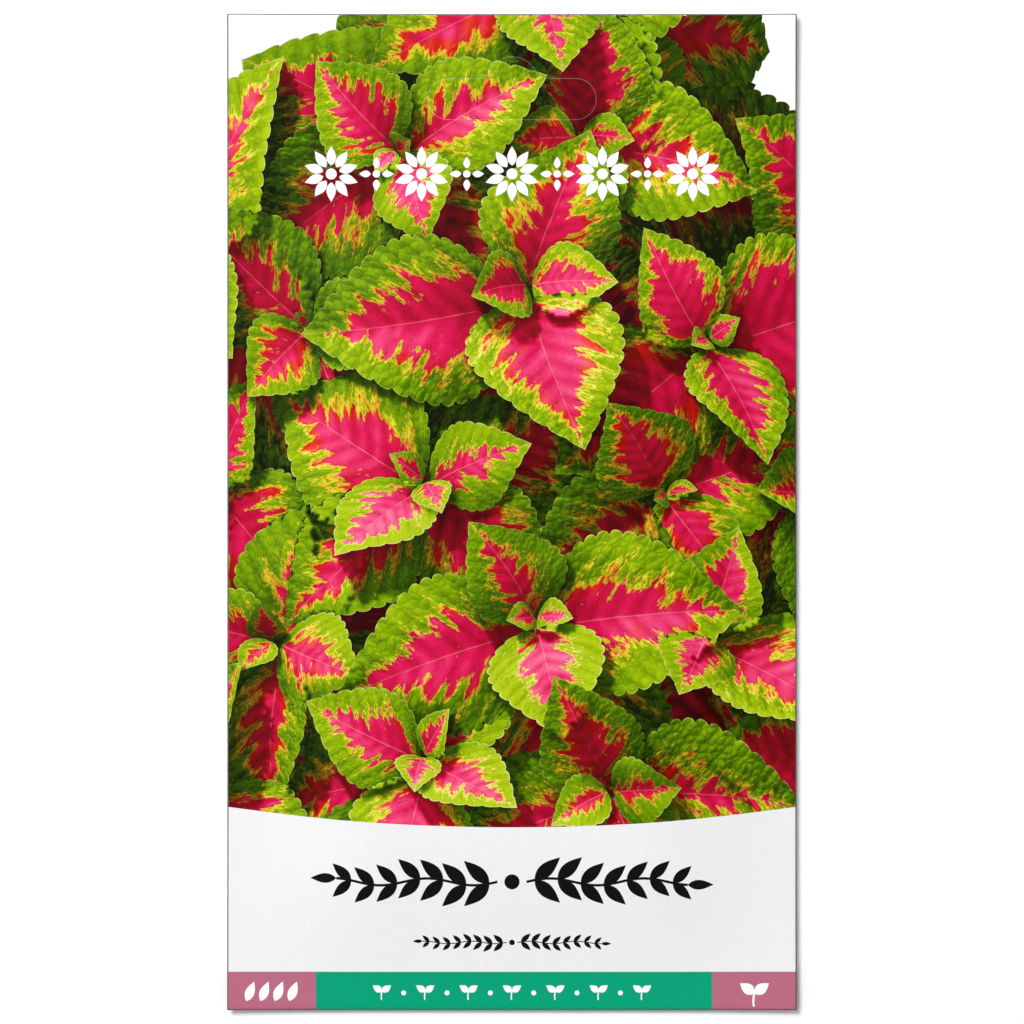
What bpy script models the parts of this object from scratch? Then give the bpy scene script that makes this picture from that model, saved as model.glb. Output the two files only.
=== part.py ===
"""Flat paper seed packet, lying on its back with the printed front up.

The packet is one folded sheet: front, back, a side flap glued inside the left edge and two end
flaps glued over the back. It holds a smaller glassine bag, folded in the same way, and the bag
holds loose seeds. X runs across the front, +Y is the hang-slot end and +Z is up, in metres. The
origin is the centre of the packet's base.
"""

import math
import random

import bmesh
import bpy
from mathutils import Vector

MM = 0.001

# The packet, measured over its folds.
PACKET_WIDTH = 92.0 * MM
PACKET_HEIGHT = 161.0 * MM
PAPER = 0.2 * MM
GLUE_GAP = 0.1 * MM
SIDE_FLAP = 11.0 * MM
BOTTOM_FLAP = 14.0 * MM
TOP_FLAP = 22.0 * MM
FLAP_INSET = 0.5 * MM
FLAP_TAPER = 0.06

# The front rises over the bag and stays flat at the glued edges and at the hang slot.
FRONT_RISE = 2.05 * MM
RISE_MARGIN = 26.0 * MM
RISE_TOP = 20.0 * MM
RISE_TOP_FADE = 38.0 * MM

# The four corners lift a little off the table.
CORNER_LIFT = 0.35 * MM
FLAT_HALF_WIDTH = 15.0 * MM

# The hang slot is a cut line that small nicks hold closed.
SLOT_HALF_LENGTH = 13.6 * MM
SLOT_HALF_HEIGHT = 3.33 * MM
SLOT_FROM_TOP = 13.8 * MM
HUMP_RADIUS = 4.27 * MM
HUMP_SINK = 0.77 * MM
CUT_WIDTH = 0.25 * MM
NICK_WIDTH = 0.8 * MM
CUTTER_HALF_DEPTH = 2.0 * MM

# The glassine bag inside.
BAG_WIDTH = 58.0 * MM
BAG_HEIGHT = 74.0 * MM
BAG_CENTRE_Y = -27.0 * MM
BAG_PAPER = 0.1 * MM
BAG_GLUE_GAP = 0.1 * MM
BAG_SIDE_FLAP = 8.0 * MM
BAG_BOTTOM_FLAP = 9.0 * MM
BAG_TOP_FLAP = 15.0 * MM
BAG_RISE = 1.05 * MM
BAG_RISE_MARGIN = 12.0 * MM
BAG_RISE_TOP_FADE = 30.0 * MM

# The seeds lie spread over the lower half of the bag's back wall.
SEED_LENGTH = 0.95 * MM
SEED_THICKNESS = 0.75 * MM
SEED_WIDTH_SHARE = 0.9
SEED_SMALLEST = 0.86
SEED_COUNT = 32
SEED_PITCH = 3.6 * MM
SEED_JITTER = 0.9 * MM
SEED_FIELD_HALF_WIDTH = 15.0 * MM
SEED_FIELD_Y = (-55.0 * MM, -36.0 * MM)
SEED_RANDOM = 29

CLEARANCE = 0.3 * MM

PACKET_PITCH = PAPER + GLUE_GAP
BAG_PITCH = BAG_PAPER + BAG_GLUE_GAP
# The bag lies clear of the packet's back panel, which is one pitch above the end flaps.
BAG_BASE = PACKET_PITCH + PAPER + CLEARANCE
FOLD_STEPS = 4
WELD = 0.001 * MM


def smooth_step(value):
    """0 below 0, 1 above 1, with a smooth S between them."""
    t = min(1.0, max(0.0, value))
    return t * t * (3.0 - 2.0 * t)


def corner_lift(x, y):
    """How far the packet's corners curl up. The middle strip stays flat on the table."""
    across = max(0.0, abs(x) - FLAT_HALF_WIDTH) / (PACKET_WIDTH / 2 - FLAT_HALF_WIDTH)
    along = abs(y) / (PACKET_HEIGHT / 2)
    return CORNER_LIFT * across**3 * along**6


def packet_rise(x, y):
    """Height that the bag pushes the packet's front up."""
    side = smooth_step((PACKET_WIDTH / 2 - abs(x)) / RISE_MARGIN)
    bottom = smooth_step((y + PACKET_HEIGHT / 2) / RISE_MARGIN)
    top = 1.0 - smooth_step((y - RISE_TOP) / RISE_TOP_FADE)
    return FRONT_RISE * side * bottom * top


def bag_rise(x, y):
    """Height that the seeds push the bag's front up. It fades towards the bag's closed mouth."""
    low_end = BAG_CENTRE_Y - BAG_HEIGHT / 2
    high_end = BAG_CENTRE_Y + BAG_HEIGHT / 2
    side = smooth_step((BAG_WIDTH / 2 - abs(x)) / BAG_RISE_MARGIN)
    bottom = smooth_step((y - low_end) / BAG_RISE_MARGIN)
    top = smooth_step((high_end - y) / BAG_RISE_TOP_FADE)
    return BAG_RISE * side * bottom * top


def evenly(start, end, cells):
    """The points that cut start to end into equal cells, both ends included."""
    return [start + (end - start) * i / cells for i in range(cells + 1)]


def arc_angles():
    """Angles inside a half-turn fold, its two ends left out."""
    return [math.pi * k / FOLD_STEPS for k in range(1, FOLD_STEPS)]


def tube_columns(width, pitch, levels, side_flap, flap_inset, front_cells, back_cells):
    """The sheet's columns round the packet, from the side flap's free edge to the back's free edge.

    Each is (x, level, on_front), and width is between the mid-lines of the two folds. The left
    fold joins the side flap to the front, and the right fold joins the front to the back.
    """
    left_radius = (levels["front"] - levels["side"]) / 2
    right_radius = (levels["front"] - levels["back"]) / 2
    left_x = -width / 2 + left_radius
    right_x = width / 2 - right_radius
    left_middle = (levels["front"] + levels["side"]) / 2
    right_middle = (levels["front"] + levels["back"]) / 2
    flap_edge = width / 2 - flap_inset

    columns = [(left_x + side_flap, levels["side"], False), (left_x, levels["side"], False)]
    for angle in arc_angles():
        x = left_x - left_radius * math.sin(angle)
        columns.append((x, left_middle - left_radius * math.cos(angle), False))
    columns.append((left_x, levels["front"], False))
    columns += [(x, levels["front"], True) for x in evenly(-flap_edge, flap_edge, front_cells)]
    columns.append((right_x, levels["front"], False))
    for angle in arc_angles():
        x = right_x + right_radius * math.sin(angle)
        columns.append((x, right_middle + right_radius * math.cos(angle), False))
    back_end = -width / 2 + 2 * pitch
    columns += [(x, levels["back"], False) for x in evenly(right_x, back_end, back_cells)]
    return columns


def sheet_rows(centre_y, height, levels, bottom_flap, top_flap, body_cells):
    """The sheet's rows, from the bottom flap's free edge to the top flap's.

    Each is (y, level, flap_share), and height is between the mid-lines of the two end folds.
    level is None on the body, where the column gives it, and flap_share runs from 0 at an end
    fold to 1 at the flap's free edge.
    """
    radius = (levels["front"] - levels["flap"]) / 2
    middle = (levels["front"] + levels["flap"]) / 2
    low = centre_y - height / 2 + radius
    high = centre_y + height / 2 - radius

    rows = [(low + bottom_flap, levels["flap"], 1.0), (low, levels["flap"], 0.0)]
    for angle in arc_angles():
        rows.append((low - radius * math.sin(angle), middle - radius * math.cos(angle), 0.0))
    rows += [(y, None, 0.0) for y in evenly(low, high, body_cells)]
    for angle in arc_angles():
        rows.append((high + radius * math.sin(angle), middle + radius * math.cos(angle), 0.0))
    rows += [(high, levels["flap"], 0.0), (high - top_flap, levels["flap"], 1.0)]
    return rows


def folded_sheet(name, columns, rows, paper, rise, material):
    """One sheet of paper folded into a flat packet: a grid bent at its folds, then thickened."""
    mesh = bpy.data.meshes.new(name)
    bm = bmesh.new()
    bmesh.ops.create_grid(bm, x_segments=len(columns) - 1, y_segments=len(rows) - 1, size=1.0)
    place = {}
    for vertex in bm.verts:
        column = round((vertex.co.x + 1.0) / 2.0 * (len(columns) - 1))
        row = round((vertex.co.y + 1.0) / 2.0 * (len(rows) - 1))
        place[vertex] = (column, row)

    # The end flaps grow from the front alone, so the sheet's four corners are cut away.
    def beyond_blank(face):
        spots = [place[v] for v in face.verts]
        on_body = all(rows[row][1] is None for _, row in spots)
        on_front = all(columns[column][2] for column, _ in spots)
        return not on_body and not on_front

    cut_away = [face for face in bm.faces if beyond_blank(face)]
    bmesh.ops.delete(bm, geom=cut_away, context="FACES")

    for vertex in bm.verts:
        column, row = place[vertex]
        x, level, _ = columns[column]
        y, flap_level, flap_share = rows[row]
        raised = flap_level is None and level == max(c[1] for c in columns)
        z = level if flap_level is None else flap_level
        x *= 1.0 - FLAP_TAPER * flap_share
        z += corner_lift(x, y) + (rise(x, y) if raised else 0.0)
        vertex.co = (x, y, z)
    bmesh.ops.recalc_face_normals(bm, faces=bm.faces)
    bm.to_mesh(mesh)
    bm.free()

    sheet = bpy.data.objects.new(name, mesh)
    mesh.materials.append(material)
    thicken = sheet.modifiers.new("paper", "SOLIDIFY")
    thicken.thickness = paper
    thicken.offset = 0.0
    thicken.use_even_offset = True
    return sheet


def layer_levels(base, paper, pitch):
    """Mid-heights of the four layers, from the end flaps under the back up to the front."""
    lowest = base + paper / 2
    return {
        "flap": lowest,
        "back": lowest + pitch,
        "side": lowest + 2 * pitch,
        "front": lowest + 3 * pitch,
    }


def make_packet(material):
    levels = layer_levels(0.0, PAPER, PACKET_PITCH)
    width = PACKET_WIDTH - PAPER
    height = PACKET_HEIGHT - PAPER
    columns = tube_columns(width, PACKET_PITCH, levels, SIDE_FLAP, FLAP_INSET, 16, 8)
    rows = sheet_rows(0.0, height, levels, BOTTOM_FLAP, TOP_FLAP, 26)
    return folded_sheet("envelope", columns, rows, PAPER, packet_rise, material)


def make_bag(material):
    levels = layer_levels(BAG_BASE, BAG_PAPER, BAG_PITCH)
    width = BAG_WIDTH - BAG_PAPER
    height = BAG_HEIGHT - BAG_PAPER
    columns = tube_columns(width, BAG_PITCH, levels, BAG_SIDE_FLAP, FLAP_INSET, 10, 4)
    rows = sheet_rows(BAG_CENTRE_Y, height, levels, BAG_BOTTOM_FLAP, BAG_TOP_FLAP, 12)
    return folded_sheet("inner_bag", columns, rows, BAG_PAPER, bag_rise, material)


def slot_outline(offset):
    """The hang slot's outline moved outwards by offset: a bar with round ends and a round hump."""
    half_height = SLOT_HALF_HEIGHT + offset
    hump_radius = HUMP_RADIUS + offset
    hump_y = SLOT_HALF_HEIGHT - HUMP_SINK
    end_x = SLOT_HALF_LENGTH - SLOT_HALF_HEIGHT
    end_steps, hump_steps = 10, 12
    start = math.asin((half_height - hump_y) / hump_radius)

    points = []
    for k in range(end_steps + 1):
        angle = -math.pi / 2 + math.pi * k / end_steps
        points.append((end_x + half_height * math.cos(angle), half_height * math.sin(angle)))
    for k in range(hump_steps + 1):
        angle = start + (math.pi - 2 * start) * k / hump_steps
        points.append((hump_radius * math.cos(angle), hump_y + hump_radius * math.sin(angle)))
    for k in range(end_steps + 1):
        angle = math.pi / 2 + math.pi * k / end_steps
        points.append((-end_x + half_height * math.cos(angle), half_height * math.sin(angle)))
    return points


def as_mesh(curve_object):
    """The evaluated curve as a mesh object with welded caps. The curve itself is removed."""
    bpy.context.view_layer.update()
    evaluated = curve_object.evaluated_get(bpy.context.evaluated_depsgraph_get())
    mesh = bpy.data.meshes.new_from_object(evaluated)
    solid = bpy.data.objects.new(curve_object.name + "_solid", mesh)
    solid.matrix_world = curve_object.matrix_world.copy()
    bpy.data.objects.remove(curve_object)
    bm = bmesh.new()
    bm.from_mesh(mesh)
    bmesh.ops.remove_doubles(bm, verts=bm.verts, dist=WELD)
    bm.to_mesh(mesh)
    bm.free()
    return solid


def as_cutter(guide, collection):
    """Puts an object with the cutters, where it draws as wire and stays out of the model."""
    collection.objects.link(guide)
    guide.hide_render = True
    guide.display_type = "WIRE"
    return guide


def difference(target, cutter):
    cut = target.modifiers.new("cut_by_" + cutter.name, "BOOLEAN")
    cut.operation = "DIFFERENCE"
    cut.object = cutter


def make_slot_cutter(cutters):
    """A thin upright ring along the hang slot's outline, with gaps where the nicks stay."""
    slot_y = PACKET_HEIGHT / 2 - SLOT_FROM_TOP
    outline = bpy.data.curves.new("slot_line", "CURVE")
    outline.dimensions = "2D"
    outline.fill_mode = "BOTH"
    outline.extrude = CUTTER_HALF_DEPTH
    for offset in (CUT_WIDTH / 2, -CUT_WIDTH / 2):
        points = slot_outline(offset)
        spline = outline.splines.new("POLY")
        spline.points.add(len(points) - 1)
        for point, (x, y) in zip(spline.points, points):
            point.co = (x, y, 0.0, 1.0)
        spline.use_cyclic_u = True
    curve = bpy.data.objects.new("slot_line", outline)
    curve.location = (0.0, slot_y, 0.0)
    bpy.context.scene.collection.objects.link(curve)
    ring = as_cutter(as_mesh(curve), cutters)

    hump_top = SLOT_HALF_HEIGHT - HUMP_SINK + HUMP_RADIUS
    nick_spots = [
        (-SLOT_HALF_LENGTH, 0.0),
        (SLOT_HALF_LENGTH, 0.0),
        (0.0, hump_top),
        (0.0, -SLOT_HALF_HEIGHT),
    ]
    for number, (x, y) in enumerate(nick_spots, 1):
        bpy.ops.mesh.primitive_cube_add(size=1.0, location=(x, slot_y + y, 0.0))
        nick = bpy.context.object
        nick.name = f"nick_{number}"
        across = 4 * CUT_WIDTH
        upright = y == 0.0
        nick.scale = (
            across if upright else NICK_WIDTH,
            NICK_WIDTH if upright else across,
            3 * CUTTER_HALF_DEPTH,
        )
        for owner in nick.users_collection:
            owner.objects.unlink(nick)
        difference(ring, as_cutter(nick, cutters))
    return ring


def seed_spots():
    """Where the seeds lie: a staggered grid with a seeded jitter, thinned to the wanted count."""
    draw = random.Random(SEED_RANDOM)
    low, high = SEED_FIELD_Y
    spots = []
    row = 0
    y = low
    while y <= high:
        x = -SEED_FIELD_HALF_WIDTH + (row % 2) * SEED_PITCH / 2
        while x <= SEED_FIELD_HALF_WIDTH:
            shift = Vector((draw.uniform(-1, 1), draw.uniform(-1, 1))) * SEED_JITTER
            spots.append((x + shift.x, y + shift.y))
            x += SEED_PITCH
        y += SEED_PITCH
        row += 1
    draw.shuffle(spots)
    return spots[:SEED_COUNT]


def make_seeds(material):
    """Loose flattened seeds on the bag's back wall, each turned its own way."""
    draw = random.Random(SEED_RANDOM + 1)
    wall_top = BAG_BASE + BAG_PITCH + BAG_PAPER
    bpy.ops.mesh.primitive_uv_sphere_add(segments=8, ring_count=5, radius=0.5)
    pattern = bpy.context.object
    shape = pattern.data
    shape.name = "seed"
    shape.materials.append(material)
    shape.shade_smooth()
    bpy.data.objects.remove(pattern)

    seeds = []
    for number, (x, y) in enumerate(seed_spots(), 1):
        size = draw.uniform(SEED_SMALLEST, 1.0)
        seed = bpy.data.objects.new(f"seed_{number:02d}", shape)
        length, thickness = SEED_LENGTH * size, SEED_THICKNESS * size
        seed.scale = (length, SEED_WIDTH_SHARE * length, thickness)
        z = wall_top + CLEARANCE + thickness / 2 + corner_lift(x, y)
        seed.location = (x, y, z)
        seed.rotation_euler.z = draw.uniform(0.0, math.pi)
        seeds.append(seed)
    return seeds


def make_material(name, colour, roughness):
    material = bpy.data.materials.new(name)
    material.use_nodes = True
    material.diffuse_color = (*colour, 1.0)
    shader = material.node_tree.nodes["Principled BSDF"]
    shader.inputs["Base Color"].default_value = (*colour, 1.0)
    shader.inputs["Roughness"].default_value = roughness
    shader.inputs["Metallic"].default_value = 0.0
    return material


def main():
    for old in list(bpy.data.objects):
        bpy.data.objects.remove(old)

    parts = bpy.data.collections.new("seed_packet")
    cutters = bpy.data.collections.new("cutters")
    for collection in (parts, cutters):
        bpy.context.scene.collection.children.link(collection)

    coated_paper = make_material("coated_paper", (0.90, 0.90, 0.88), 0.38)
    glassine = make_material("glassine", (0.86, 0.84, 0.78), 0.45)
    seed_coat = make_material("seed_coat", (0.045, 0.022, 0.012), 0.5)

    packet = make_packet(coated_paper)
    difference(packet, make_slot_cutter(cutters))
    for piece in [packet, make_bag(glassine), *make_seeds(seed_coat)]:
        parts.objects.link(piece)


main()
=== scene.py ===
"""Looks of a flat paper seed packet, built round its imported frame.

Lengths are in millimetres from the centre of the packet's base, and meshes are made in metres.
The picture on the front is made up: a bush of two-coloured leaves grows from formulas and seeded
draws, is seen from straight in front, and what shows of each leaf becomes printed paper.
"""

import math
import random
from dataclasses import dataclass

import bmesh
import bpy
import numpy as np
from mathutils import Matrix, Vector, geometry


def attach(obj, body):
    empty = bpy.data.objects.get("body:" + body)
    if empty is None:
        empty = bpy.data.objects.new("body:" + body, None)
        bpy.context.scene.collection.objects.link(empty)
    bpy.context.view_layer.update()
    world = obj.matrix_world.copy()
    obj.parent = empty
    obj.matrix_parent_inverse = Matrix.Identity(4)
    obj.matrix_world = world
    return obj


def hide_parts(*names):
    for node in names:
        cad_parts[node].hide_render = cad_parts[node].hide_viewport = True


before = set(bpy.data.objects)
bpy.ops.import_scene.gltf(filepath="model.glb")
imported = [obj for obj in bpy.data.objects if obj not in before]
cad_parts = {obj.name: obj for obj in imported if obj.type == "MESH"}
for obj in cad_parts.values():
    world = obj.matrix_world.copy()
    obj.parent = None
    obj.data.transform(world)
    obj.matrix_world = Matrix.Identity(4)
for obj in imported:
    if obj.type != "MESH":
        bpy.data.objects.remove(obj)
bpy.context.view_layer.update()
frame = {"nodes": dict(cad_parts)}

MM = 0.001

# The packet, as the frame has it.
PACKET_WIDTH = 92.0
PACKET_HEIGHT = 161.0
PAPER = 0.2
LAYER_PITCH = 0.3
SIDE_FLAP = 11.0
BOTTOM_FLAP = 14.0
TOP_FLAP = 22.0
FLAP_INSET = 0.5
FLAP_TAPER = 0.06
FRONT_RISE = 2.05
RISE_MARGIN = 26.0
RISE_TOP = 20.0
RISE_TOP_FADE = 38.0
CORNER_LIFT = 0.35
FLAT_HALF_WIDTH = 15.0

# The hang slot's cut line.
SLOT_HALF_LENGTH = 13.6
SLOT_HALF_HEIGHT = 3.33
SLOT_Y = PACKET_HEIGHT / 2 - 13.8
HUMP_RADIUS = 4.27
HUMP_SINK = 0.77
NICK_WIDTH = 0.8
CUT_GAP = 0.03
CUT_PITCH = 0.35
PALE_LINE = 0.17

# The printed layout: a strip of three blocks, a pale panel with an arched top, and the picture.
INK = 0.02
# Painted shade: a thin dark grey line painted round the packet's outline, where the folds turn
# under, stands in for the edge's darkening.
PAINTED_EDGE_SHADE_WIDTH = 0.22
STRIP_TOP = -74.22
LEFT_BLOCK_END = -31.68
RIGHT_BLOCK_START = 32.3
PANEL_MIDDLE = -50.7
PANEL_EDGE = -47.6

# The virtual bush.
BUSH_SEED = 12
SHOOT_GAP_X = 31.0
SHOOT_GAP_Y = 25.5
SHOOT_ROWS = 6
LOWEST_SHOOT = -48.0
SHOOT_JITTER = 4.5
CROWN_FALL = 0.0014
BUSH_SLOPE = 0.26
BUSH_ROUNDING = 0.006
LEAF_PAIRS = 5
OLD_LEAF = 40.0
SHOOT_HEIGHT = 17.0
YOUNG_LIFT = 66.0
LIFT_FALL = 84.0
LEAF_WEIGHT = 0.22
SUN = 0.42
SKY_ABOVE = 0.38
SKY_ROUND = 0.24
SKY_DEEP = 0.07
LEAF_TONE = 0.14
SIDE_VEINS = 9.0
LEAF_GAP = 0.4
RIM_WIDTH = 0.4
RIB_PITCH = 0.7
TOOTH_BEND = 0.85
BACK_DEPTH = -90.0
LIGHT = np.array([-0.38, 0.70, 0.60]) / np.linalg.norm([-0.38, 0.70, 0.60])
MAP_CELL = 0.5
MAP_LOW = (-52.0, -60.0)
MAP_CELLS = (208, 292)
FILL_PITCH = 0.64
PLAIN_PITCH = 1.6
LINE_PITCH = 1.2
STRIP_PITCH = 1.0
TAKEN_CELL = 0.5


def smooth_step(value):
    """0 below 0, 1 above 1, with a smooth S between them."""
    t = np.clip(value, 0.0, 1.0)
    return t * t * (3.0 - 2.0 * t)


def unit(vector):
    vector = np.asarray(vector, float)
    return vector / np.linalg.norm(vector)


def pair(x, y):
    """Points from their x and y places."""
    return np.stack([x, y], axis=1)


def out_and_back(values, sign=1.0):
    """Values along one side of an outline and back along the other, there times the sign."""
    return np.concatenate([values, sign * values[-2:0:-1]])


def ribbon(middle, half):
    """A closed band that lies half to each side of a line of points."""
    return np.vstack([middle + half, (middle - half)[::-1]])


def make_object(name, data):
    made = bpy.data.objects.new(name, data)
    bpy.context.scene.collection.objects.link(made)
    return made


# Leaves of the virtual bush


@dataclass
class Leaf:
    base: np.ndarray
    along: np.ndarray
    up: np.ndarray
    length: float
    half_width: float
    droop: float
    fold: float
    curl: float
    wave: float
    phase: float
    sway: float
    teeth: int
    seed: float
    pink: float
    warm: float
    across: np.ndarray = None
    rank: float = 0.0
    outline: np.ndarray = None
    inset: np.ndarray = None
    midrib: np.ndarray = None
    samples: tuple = None


def blade_half_width(leaf, u):
    """An ovate blade: widest at about two fifths of its length, with a pointed tip."""
    return leaf.half_width * np.sin(np.pi * np.clip(u, 0.0, 1.0) ** 0.72) ** 1.05


def scalloped_half_width(leaf, u):
    """The blade's half width with its rounded teeth."""
    tooth = np.abs(np.sin(np.pi * leaf.teeth * np.clip(u, 0.0, 1.0) ** TOOTH_BEND)) ** 0.6
    plain = blade_half_width(leaf, u)
    size = 0.024 * leaf.length * np.minimum(1.0, 3.0 * plain / leaf.half_width)
    return plain + size * (tooth - 0.35)


def leaf_point(leaf, u, a):
    """The leaf's points at u along its midrib (0 to 1) and a mm across it."""
    turn = leaf.droop * u
    sine, cosine = np.sin(turn)[:, None], np.cos(turn)[:, None]
    normal = sine * leaf.along + cosine * leaf.up
    reach = leaf.length / leaf.droop
    middle = leaf.base + reach * (sine * leaf.along - (1.0 - cosine) * leaf.up)
    share = a / leaf.half_width
    a = a + leaf.sway * leaf.length * u**2
    valley = np.sqrt(share**2 + 0.01) - 0.1
    ripple = leaf.wave * share**2 * np.sin(9.0 * u + leaf.phase + 2.0 * np.sign(a))
    lift = leaf.half_width * (leaf.fold * valley - leaf.curl * share**2 + ripple)
    return middle + a[:, None] * leaf.across + lift[:, None] * normal


def finish_leaf(leaf):
    """Adds what is worked out from the leaf's own values: outlines and a net of samples."""
    leaf.across = np.cross(leaf.up, leaf.along)
    steps = np.linspace(0.0, 1.0, leaf.teeth * 6 + 1) ** (1.0 / TOOTH_BEND)
    half = scalloped_half_width(leaf, steps)
    inner = np.maximum(half - RIM_WIDTH, 0.0)
    u = out_and_back(steps)
    leaf.outline = leaf_point(leaf, u, out_and_back(half, -1.0))[:, :2]
    leaf.inset = leaf_point(leaf, u, out_and_back(inner, -1.0))[:, :2]
    rib_u = np.linspace(0.0, 1.0, max(4, round(leaf.length / RIB_PITCH)))
    rib = leaf_point(leaf, rib_u, np.zeros(len(rib_u)))
    leaf.midrib = rib[:, :2]
    leaf.rank = rib[len(rib) // 2, 2]
    net_u, net_v = np.meshgrid(np.linspace(0.0, 1.0, 19), np.linspace(-1.1, 1.1, 9))
    net_u = net_u.ravel()
    net_a = net_v.ravel() * np.maximum(blade_half_width(leaf, net_u), 0.4)
    leaf.samples = (net_u, net_a, leaf_point(leaf, net_u, net_a)[:, :2])
    return leaf


def find_on_leaf(leaf, spots):
    """Where on the leaf each spot of the picture falls: u, a and depth, by Newton's method."""
    net_u, net_a, net_spots = leaf.samples
    gaps = ((spots[:, None, :] - net_spots[None]) ** 2).sum(2)
    nearest = gaps.argmin(1)
    u, a = net_u[nearest], net_a[nearest]
    small_u, small_a = 1e-4, 1e-3
    # The steps are held short, so that a fold in the leaf doesn't throw a spot far off.
    for _ in range(4):
        here = leaf_point(leaf, u, a)
        by_u = (leaf_point(leaf, u + small_u, a) - here) / small_u
        by_a = (leaf_point(leaf, u, a + small_a) - here) / small_a
        miss = spots - here[:, :2]
        area = by_u[:, 0] * by_a[:, 1] - by_u[:, 1] * by_a[:, 0]
        area = np.where(np.abs(area) < 0.5, np.where(area < 0, -0.5, 0.5), area)
        du = (miss[:, 0] * by_a[:, 1] - miss[:, 1] * by_a[:, 0]) / area
        da = (by_u[:, 0] * miss[:, 1] - by_u[:, 1] * miss[:, 0]) / area
        u = np.clip(u + np.clip(du, -0.1, 0.1), -0.02, 1.02)
        a = a + np.clip(da, -2.0, 2.0)
    return u, a, leaf_point(leaf, u, a)[:, 2]


def inside(spots, polygon):
    """True for the spots inside a closed polygon, by the even-odd rule."""
    x, y = spots[:, :1], spots[:, 1:]
    x0, y0 = polygon.T
    x1, y1 = np.roll(polygon, -1, axis=0).T
    crosses = (y0 > y) != (y1 > y)
    flat = y1 == y0
    reach = x0 + (y - y0) * (x1 - x0) / np.where(flat, 1.0, y1 - y0)
    return (crosses & (x < reach)).sum(1) % 2 == 1


def within(spots, polygon):
    """The numbers of the spots inside the polygon, with a quick test on its box first."""
    low, high = polygon.min(0), polygon.max(0)
    near = np.flatnonzero(((spots >= low) & (spots <= high)).all(1))
    return near[inside(spots[near], polygon)] if len(near) else near


def topmost(leaves, spots):
    """The number of the leaf that shows at each spot, or -1. Later leaves lie over earlier ones."""
    owner = np.full(len(spots), -1)
    for number, leaf in enumerate(leaves):
        owner[within(spots, leaf.outline)] = number
    return owner


def grow_shoot(draw, x, y):
    """A shoot seen from its tip: pairs of leaves, each pair crossing the one below."""
    height = -BUSH_SLOPE * (y + 50.0) - BUSH_ROUNDING * x * x + draw.uniform(-4.0, 4.0)
    root = np.array([x, y, height])
    lean_x, lean_y = draw.uniform(-0.3, 0.3), draw.uniform(-0.25, 0.25)
    axis = unit((x / 95.0 + lean_x, 0.28 + lean_y, 1.0))
    side = unit(np.cross((0.0, 1.0, 0.0), axis))
    rise = np.cross(axis, side)
    spin = draw.uniform(0.0, math.pi)
    size = draw.uniform(0.8, 1.12)
    pinkness = draw.uniform(0.34, 0.66)
    phase = draw.random()

    leaves = []
    for tier in range(LEAF_PAIRS):
        # Age runs from 1 for the oldest pair down to 0. Old leaves are long, low and drooping.
        age = 1.0 - (tier + phase) / LEAF_PAIRS
        lift = YOUNG_LIFT - LIFT_FALL * age**0.85
        stem = SHOOT_HEIGHT * size * (1.0 - age**1.4)
        for half_turn in (0.0, math.pi):
            angle = spin + tier * math.pi / 2 + half_turn + draw.uniform(-0.25, 0.25)
            lift_angle = math.radians(lift + draw.uniform(-7.0, 7.0))
            outward = math.cos(angle) * side + math.sin(angle) * rise
            along = math.cos(lift_angle) * outward + math.sin(lift_angle) * axis
            along = unit(along + np.array([0.0, -LEAF_WEIGHT, 0.0]))
            up = unit(axis - np.dot(axis, along) * along)
            roll = draw.uniform(-0.35, 0.35)
            up = unit(math.cos(roll) * up + math.sin(roll) * np.cross(up, along))
            grown = 1.0 - (1.0 - age) ** 2.2
            length = OLD_LEAF * grown * size * draw.uniform(0.88, 1.08)
            leaf = Leaf(
                base=root + axis * stem + along * 0.05 * length,
                along=along,
                up=up,
                length=length,
                half_width=length * draw.uniform(0.37, 0.44),
                droop=math.radians((16.0 + 34.0 * age) * draw.uniform(0.7, 1.2)),
                fold=draw.uniform(0.2, 0.55),
                curl=draw.uniform(0.1, 0.38),
                wave=draw.uniform(0.02, 0.07),
                phase=draw.uniform(0.0, 6.0),
                sway=draw.uniform(-0.16, 0.16),
                teeth=max(5, round(4.0 + length * 0.36)),
                seed=draw.random(),
                pink=pinkness + draw.uniform(-0.12, 0.12),
                warm=draw.random(),
            )
            leaves.append(finish_leaf(leaf))
    return leaves


def grow_bush():
    """Shoots on a staggered grid with some play. The top row is short, so the bush is round."""
    draw = random.Random(BUSH_SEED)
    leaves = []
    for row in range(SHOOT_ROWS):
        offset = 0.5 * (1 - row % 2)
        reach = 0 if row == SHOOT_ROWS - 1 else 2
        for column in range(-reach, reach + (row % 2)):
            x = (column + offset) * SHOOT_GAP_X
            y = LOWEST_SHOOT + row * (SHOOT_GAP_Y - CROWN_FALL * x * x)
            play = [draw.uniform(-1, 1) * SHOOT_JITTER for _ in range(2)]
            leaves += grow_shoot(draw, x + play[0], y + play[1])
    return sorted(leaves, key=lambda leaf: leaf.rank)


# Light on the virtual bush


def compass(number, turned=0.0):
    """Evenly spread directions all round, turned by a share of the gap between two."""
    angles = 2 * math.pi * (np.arange(number) + turned) / number
    return pair(np.cos(angles), np.sin(angles))


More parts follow.
